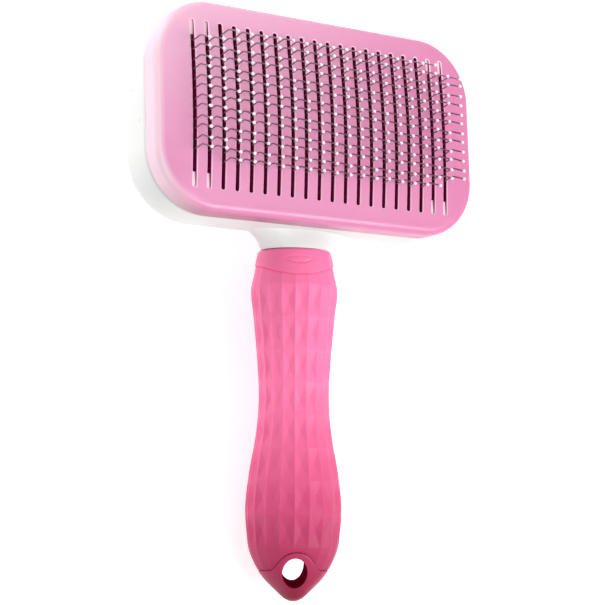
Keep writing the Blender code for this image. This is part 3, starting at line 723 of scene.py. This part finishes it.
def springs():
    """The return springs, wound down from the top of each CAD spring's box to its bottom."""
    around = 28
    steps = int(SPRING_TURNS * around)
    for number, (x, y) in enumerate(corners(POST_X, POST_Y), 1):
        low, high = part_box(f"return_spring_{number}")
        top, bottom = high.z - SPRING_END, low.z + SPRING_END
        bm = bmesh.new()
        rings = []
        for k in range(steps + 1):
            a = 2 * math.pi * k / around
            out = Vector((math.cos(a), math.sin(a), 0))
            center = Vector((x, y + FACE_Y, top + (bottom - top) * k / steps)) + out * SPRING_R
            rings.append([
                center + (out * math.cos(t) + Vector((0, 0, math.sin(t)))) * SPRING_WIRE_R
                for t in angles_round(10)
            ])
        join_rings(bm, rings)
        made = finish_mesh(
            f"spring_{number}", bm, Matrix.Identity(4), [SPRING], "brush", 60,
            [f"return_spring_{number}"],
        )
        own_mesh(made)


# ---------------------------------------------------------------- handle


def half_width(along):
    return eased(HANDLE_PROFILE, along)[0]


def collar_line(angle):
    return COLLAR_END + COLLAR_DIP * max(0.0, math.cos(angle)) ** 2


def tip_line(angle):
    turn = abs((angle + math.pi) % (2 * math.pi) - math.pi)
    rise, half = FRONT_ARCH if turn < math.pi / 2 else BACK_ARCH
    off = min(min(turn, math.pi - turn) / half, 1.0)
    return TIP_START - rise * (1 - (off * off * (3 - 2 * off)) ** 1.3)


def flatness(along):
    (start, high), (end, low) = HANDLE_FLATNESS
    t = min(max((along - start) / (end - start), 0.0), 1.0)
    return high + (low - high) * t * t * (3 - 2 * t)


def handle_point(along, grow, angle):
    half = half_width(along) + grow
    return Vector((half * math.sin(angle), -along, half * flatness(along) * math.cos(angle)))


def hang_hole(name):
    """The hang hole's tool: an oval rod through the handle's end."""
    bm = bmesh.new()
    oval = [(HOLE_HALF[0] * math.cos(a), HOLE_HALF[1] * math.sin(a)) for a in angles_round(64)]
    join_rings(bm, [flat_ring(oval, z) for z in (-THROUGH, THROUGH)])
    aim = Matrix.Rotation(-HOLE_TURN, 4, "Y") @ Matrix.Rotation(HOLE_TILT, 4, "X")
    # The tool gives the hole's walls the near-black red of painted shade.
    return cutter(name, bm, HANDLE @ Matrix.Translation((0, -HOLE_AT, 0)) @ aim, BORE_SHADE)


def thumb_arc(along, angle):
    """How deep the collar's thumb arc is at a point: a narrow smile at the handle's front."""
    across = half_width(along) * math.sin(angle)
    if math.cos(angle) < 0 or abs(across) > ARC_HALF:
        return 0.0
    share = 1 - (across / ARC_HALF) ** 2
    low, high = 0.0022 + 0.0013 * share, 0.0020 - 0.0006 * share  # along, of the arc's two edges
    fade = min(1.0, share * 4)
    smile = -0.00038 * math.exp(-(((along - low) / ARC_SPREAD) ** 2))
    brow = -0.00016 * math.exp(-(((along - high) / ARC_SPREAD) ** 2))
    return fade * (smile + brow)


def collar():
    bm = bmesh.new()
    around = angles_round(192)
    rings = [
        [handle_point(along, grow, a) for a in around]
        for along, grow in ((COLLAR_START, -COLLAR_WALL), (COLLAR_START, -0.0003), (-0.0008, -0.00006))
    ]
    steps = 34
    for i in range(steps + 1):
        ring = []
        for a in around:
            along = -0.0005 + (collar_line(a) + 0.0002) * i / steps
            ring.append(handle_point(along, thumb_arc(along, a), a))
        rings.append(ring)
    for back, grow in ((0.00012, -0.00008), (0.0, -0.00030), (0.0, -COLLAR_WALL)):
        rings.append([handle_point(collar_line(a) - back, grow, a) for a in around])
    join_rings(bm, rings, caps=False, around=True)
    finish_mesh("handle_collar", bm, HANDLE, [COLLAR], "brush", 40, ["handle_core"])


def strip_point(along, strip, u, grow=0.0, dent=0.0):
    """A point on a flat strip of the grip, from its left ridge at u = -1 to its right ridge at u = 1."""
    left = 2 * math.pi * (strip - 0.5) / RIDGES + RIDGE_TURN
    right = 2 * math.pi * (strip + 0.5) / RIDGES + RIDGE_TURN
    middle = (left + right) / 2
    a, b = (along(left), along(right)) if callable(along) else (along, along)
    if callable(along) and abs(u) < 1:
        at = along(middle + u * (right - left) / 2)
        a = b = at
    grown = [grow(edge) if callable(grow) else grow for edge in (left, right)]
    point = handle_point(a, grown[0], left).lerp(handle_point(b, grown[1], right), (u + 1) / 2)
    outward = Vector((math.sin(middle), 0, math.cos(middle) / HANDLE_FLATNESS[0][1])).normalized()
    return point - outward * dent


def sunk(depth):
    """A growth that is deepest at the handle's front and back and nearly nothing at its sides."""
    return lambda angle: -depth * (0.15 + 0.85 * math.cos(angle) ** 2)


def grip():
    """The soft sleeve: flat strips round the handle, each with a column of shallow four-sided dents."""
    bm = bmesh.new()
    parts = 8
    us = [-1 + 2 * i / parts for i in range(parts)]

    def ring(along, grow=0.0, v=None):
        points = []
        for strip in range(RIDGES):
            for u in us:
                dent = 0.0 if v is None else DENT_DEPTH * (1 - max(abs(u), abs(v)))
                points.append(strip_point(along, strip, u, grow, dent))
        return points

    def line(value, by):
        return lambda a: value(a) + by

    start = ((-0.0008, -0.0009), (0.0002, -0.0005), (0.0005, -0.00035))
    outside = [ring(line(collar_line, by), grow) for by, grow in start]
    for row in range(PATTERN_ROWS):
        for k in range(parts):
            outside.append(ring(PATTERN_START + ROW_HEIGHT * (row + k / parts), 0.0, -1 + 2 * k / parts))
    end = PATTERN_START + ROW_HEIGHT * PATTERN_ROWS
    for k in range(7):
        share = k / 6
        outside.append(ring(
            lambda a: FLATS_END + (tip_line(a) - 0.0003 - FLATS_END) * share, sunk(0.0007 * share)
        ))
    outside += [ring(line(tip_line, -0.0001), sunk(0.0010)), ring(line(tip_line, 0.0008), -0.0016)]
    inside = [ring(line(tip_line, 0.0008), -SLEEVE_DEPTH)]
    inside += [ring(end - (end - PATTERN_START) * k / 12, -SLEEVE_DEPTH) for k in range(13)]
    inside += [ring(line(collar_line, -0.0008), -SLEEVE_DEPTH)]
    join_rings(bm, outside + inside, caps=False, around=True)
    made = finish_mesh("handle_grip", bm, HANDLE, [GRIP], "brush", 3.2, ["grip_sleeve"])
    cut(made, hang_hole("grip_hole"))


def tip():
    bm = bmesh.new()
    around = angles_round(160)
    end = HANDLE_PROFILE[-1][0]
    lip = (
        (-0.0030, -SLEEVE_DEPTH), (0.0, -0.0016), (0.0, -0.00055), (0.00010, -0.00022), (0.00026, -0.00008),
        (TIP_LIP, 0.0),
    )
    rings = [[handle_point(tip_line(a) + by, grow, a) for a in around] for by, grow in lip]
    steps = 30
    for i in range(1, steps + 1):
        share = math.sin(i / steps * math.pi / 2)
        rings.append([
            handle_point(tip_line(a) + TIP_LIP + (end - tip_line(a) - TIP_LIP) * share, 0, a) for a in around
        ])
    join_rings(bm, rings)
    made = finish_mesh("handle_tip", bm, HANDLE, [COLLAR], "brush", 40)
    cut(made, hang_hole("tip_hole"))
    soften(made, 0.0007, 4, 50)


face_plate()
back_shell()
pin_rows()
back_button()
springs()
collar()
grip()
tip()

# The CAD pieces still shown, inside the head, take the dark maroon painted shade; the screws take steel.
for name, node in frame["nodes"].items():
    if node.hide_render:
        continue
    node.data.materials.clear()
    node.data.materials.append(SCREW if "screw" in name else MAROON_SHADE)

# ---------------------------------------------------------------- floor, light and camera

floor_mesh = bmesh.new()
bmesh.ops.create_grid(floor_mesh, x_segments=2, y_segments=2, size=3.0)
floor_data = bpy.data.meshes.new("floor")
floor_mesh.to_mesh(floor_data)
floor_mesh.free()
floor = bpy.data.objects.new("floor", floor_data)
bpy.context.scene.collection.objects.link(floor)
FLOOR = Nodes("floor_white")
FLOOR.color(FLOOR.ramp(FLOOR.noise(3.0, 2.0), (0.3, (0.72, 0.72, 0.72)), (0.7, (0.74, 0.74, 0.74))))
FLOOR.put(Roughness=0.9, Emission_Color=(1, 1, 1, 1), Emission_Strength=0.60)
floor_data.materials.append(FLOOR.material)


def light(name, location, aim, size, power):
    data = bpy.data.lights.new(name, "AREA")
    data.shape = "DISK"
    data.size = size
    data.energy = power
    made = bpy.data.objects.new(name, data)
    made.location = location
    made.rotation_euler = (Vector(aim) - Vector(location)).to_track_quat("-Z", "Y").to_euler()
    bpy.context.scene.collection.objects.link(made)


light("key", (0.45, -0.28, 0.84), (0, -0.01, 0), 0.60, 9.0)
light("left", (-0.30, 0.38, 0.09), (-0.03, 0.06, 0.02), 0.25, 1.2)
light("front", (-0.75, -0.20, 0.85), (0, 0, 0), 0.90, 2.1)
light("top", (0.0, 0.60, 0.85), (0, 0.02, 0), 0.80, 0.5)

world = bpy.data.worlds.new("studio")
bpy.context.scene.world = world
world.use_nodes = True
world.node_tree.nodes["Background"].inputs["Color"].default_value = (1, 1, 1, 1)
world.node_tree.nodes["Background"].inputs["Strength"].default_value = 0.45
bpy.context.scene.view_settings.view_transform = "Standard"

camera_data = bpy.data.cameras.new("camera")
camera_data.sensor_width = 36.0
camera_data.lens = 104.1322
camera_data.clip_start = 0.01
camera = bpy.data.objects.new("camera", camera_data)
# The camera's axes and place, as seen from the head.
right = Vector((0.8392, -0.0274, 0.5432))
up = Vector((-0.0652, 0.9865, 0.1505))
back = -Vector((0.5399, 0.1617, -0.8260))
camera.matrix_world = HEAD @ Matrix.Translation((-0.30279, -0.14707, 0.44832)) @ Matrix((
    (right.x, up.x, back.x, 0), (right.y, up.y, back.y, 0), (right.z, up.z, back.z, 0), (0, 0, 0, 1)
))
bpy.context.scene.collection.objects.link(camera)
bpy.context.scene.camera = camera
